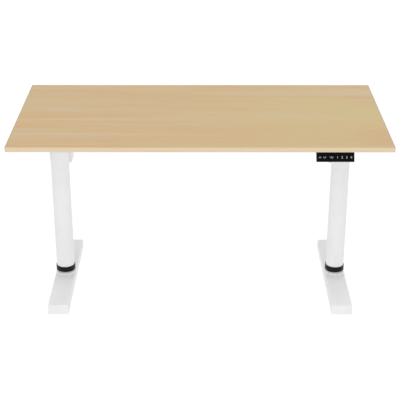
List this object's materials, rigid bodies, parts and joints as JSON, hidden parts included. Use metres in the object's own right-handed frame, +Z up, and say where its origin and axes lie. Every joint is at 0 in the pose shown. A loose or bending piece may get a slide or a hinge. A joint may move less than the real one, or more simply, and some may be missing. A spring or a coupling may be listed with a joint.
{
  "type": "height adjustable standing desk",
  "caption": "Rectangular wood tabletop on white round telescopic columns with flat steel feet, raised and lowered from a keypad under the front edge.",
  "frame": {"origin": "on the floor under the middle of the tabletop, desk at its lowest height", "axes": "+X along the width to the user's right, +Y towards the back edge, +Z up"},
  "size_m": [1.4, 0.7, 0.732],
  "materials": {
    "laminate": "pale wood laminate, matt",
    "edge_band": "wood tone edging, matt",
    "white_paint": "white powder coat",
    "white_plastic": "white moulded plastic",
    "black_plastic": "black moulded plastic",
    "ring_plastic": "black low friction plastic",
    "bushing_plastic": "natural low friction plastic",
    "zinc_steel": "zinc plated",
    "spindle_steel": "rolled thread steel, greased",
    "nut_brass": "machined",
    "gear_nylon": "natural nylon",
    "motor_black": "black enamel can",
    "pad_rubber": "black rubber",
    "lead_sheath": "black cable sheath",
    "fascia_gloss": "gloss black",
    "display_gloss": "dark display window",
    "key_black": "satin black"
  },
  "bodies": {
    "left_base": {"left_foot_beam": "white_paint", "left_foot_caps": "white_plastic", "left_inner_column": "white_paint", "left_foot_bolts": "zinc_steel", "left_upper_bushing": "bushing_plastic", "left_spindle_nut": "nut_brass"},
    "right_base": {"right_foot_beam": "white_paint", "right_foot_caps": "white_plastic", "right_inner_column": "white_paint", "right_foot_bolts": "zinc_steel", "right_upper_bushing": "bushing_plastic", "right_spindle_nut": "nut_brass"},
    "upper": {"left_outer_tube": "white_paint", "left_lower_bushing": "ring_plastic", "left_motor": "motor_black", "left_gear_case": "white_paint", "left_gear_lid": "white_paint", "left_motor_cover": "white_plastic", "left_side_bracket": "white_paint", "left_rail": "white_paint", "left_motor_lead": "lead_sheath", "right_outer_tube": "white_paint", "right_lower_bushing": "ring_plastic", "right_motor": "motor_black", "right_gear_case": "white_paint", "right_gear_lid": "white_paint", "right_motor_cover": "white_plastic", "right_side_bracket": "white_paint", "right_rail": "white_paint", "right_motor_lead": "lead_sheath", "desktop_board": "laminate", "edge_band": "edge_band", "bracket_pads": "pad_rubber", "board_screws": "zinc_steel", "centre_rail": "white_paint", "control_case": "black_plastic", "mains_inlet": "black_plastic", "handset_lead": "lead_sheath", "cable_clips": "white_plastic", "handset_case": "black_plastic", "handset_fascia": "fascia_gloss", "handset_display": "display_gloss"},
    "left_spindle_set": {"left_spindle": "spindle_steel", "left_spindle_gear": "spindle_steel"},
    "left_idler": {"left_idler_gear": "gear_nylon"},
    "left_rotor": {"left_motor_pinion": "spindle_steel"},
    "left_front_leveller": {"left_front_glide": "black_plastic"},
    "left_rear_leveller": {"left_rear_glide": "black_plastic"},
    "right_spindle_set": {"right_spindle": "spindle_steel", "right_spindle_gear": "spindle_steel"},
    "right_idler": {"right_idler_gear": "gear_nylon"},
    "right_rotor": {"right_motor_pinion": "spindle_steel"},
    "right_front_leveller": {"right_front_glide": "black_plastic"},
    "right_rear_leveller": {"right_rear_glide": "black_plastic"},
    "up_key": {"key_up": "key_black"},
    "down_key": {"key_down": "key_black"},
    "1_key": {"key_1": "key_black"},
    "2_key": {"key_2": "key_black"},
    "3_key": {"key_3": "key_black"},
    "4_key": {"key_4": "key_black"}
  },
  "joints": [
    {"name": "lift_left", "type": "slide", "parent": "left_base", "child": "upper", "axis": [0, 0, 1], "range_m": [0, 0.45]},
    {"name": "lift_right", "type": "slide", "parent": "upper", "child": "right_base", "axis": [0, 0, -1], "range_m": [0, 0.45]},
    {"name": "left_spindle_turn", "type": "hinge", "parent": "upper", "child": "left_spindle_set", "pos_m": [-0.554, 0, 0.68], "axis": [0, 0, 1], "continuous": true},
    {"name": "left_idler_turn", "type": "hinge", "parent": "upper", "child": "left_idler", "pos_m": [-0.554, 0.05, 0.68], "axis": [0, 0, 1], "continuous": true},
    {"name": "left_motor_turn", "type": "hinge", "parent": "upper", "child": "left_rotor", "pos_m": [-0.554, 0.08, 0.68], "axis": [0, 0, 1], "continuous": true},
    {"name": "left_front_level", "type": "slide", "parent": "left_base", "child": "left_front_leveller", "axis": [0, 0, -1], "range_m": [0, 0.01]},
    {"name": "left_rear_level", "type": "slide", "parent": "left_base", "child": "left_rear_leveller", "axis": [0, 0, -1], "range_m": [0, 0.01]},
    {"name": "right_spindle_turn", "type": "hinge", "parent": "upper", "child": "right_spindle_set", "pos_m": [0.554, 0, 0.68], "axis": [0, 0, 1], "continuous": true},
    {"name": "right_idler_turn", "type": "hinge", "parent": "upper", "child": "right_idler", "pos_m": [0.554, 0.05, 0.68], "axis": [0, 0, 1], "continuous": true},
    {"name": "right_motor_turn", "type": "hinge", "parent": "upper", "child": "right_rotor", "pos_m": [0.554, 0.08, 0.68], "axis": [0, 0, 1], "continuous": true},
    {"name": "right_front_level", "type": "slide", "parent": "right_base", "child": "right_front_leveller", "axis": [0, 0, -1], "range_m": [0, 0.01]},
    {"name": "right_rear_level", "type": "slide", "parent": "right_base", "child": "right_rear_leveller", "axis": [0, 0, -1], "range_m": [0, 0.01]},
    {"name": "key_up_press", "type": "slide", "parent": "upper", "child": "up_key", "axis": [0, 0.9085, -0.4179], "range_m": [0, 0.0008], "stiffness_N_per_m": 800},
    {"name": "key_down_press", "type": "slide", "parent": "upper", "child": "down_key", "axis": [0, 0.9085, -0.4179], "range_m": [0, 0.0008], "stiffness_N_per_m": 800},
    {"name": "key_1_press", "type": "slide", "parent": "upper", "child": "1_key", "axis": [0, 0.9085, -0.4179], "range_m": [0, 0.0008], "stiffness_N_per_m": 800},
    {"name": "key_2_press", "type": "slide", "parent": "upper", "child": "2_key", "axis": [0, 0.9085, -0.4179], "range_m": [0, 0.0008], "stiffness_N_per_m": 800},
    {"name": "key_3_press", "type": "slide", "parent": "upper", "child": "3_key", "axis": [0, 0.9085, -0.4179], "range_m": [0, 0.0008], "stiffness_N_per_m": 800},
    {"name": "key_4_press", "type": "slide", "parent": "upper", "child": "4_key", "axis": [0, 0.9085, -0.4179], "range_m": [0, 0.0008], "stiffness_N_per_m": 800}
  ],
  "couplings": [
    {"joint": "lift_right", "follows": "lift_left", "ratio": 1},
    {"joint": "left_spindle_turn", "follows": "lift_left", "rad_per_m": 628.32},
    {"joint": "left_idler_turn", "follows": "lift_left", "rad_per_m": -850.08},
    {"joint": "left_motor_turn", "follows": "lift_left", "rad_per_m": 2064.5},
    {"joint": "right_spindle_turn", "follows": "lift_left", "rad_per_m": 628.32},
    {"joint": "right_idler_turn", "follows": "lift_left", "rad_per_m": -850.08},
    {"joint": "right_motor_turn", "follows": "lift_left", "rad_per_m": 2064.5}
  ]
}
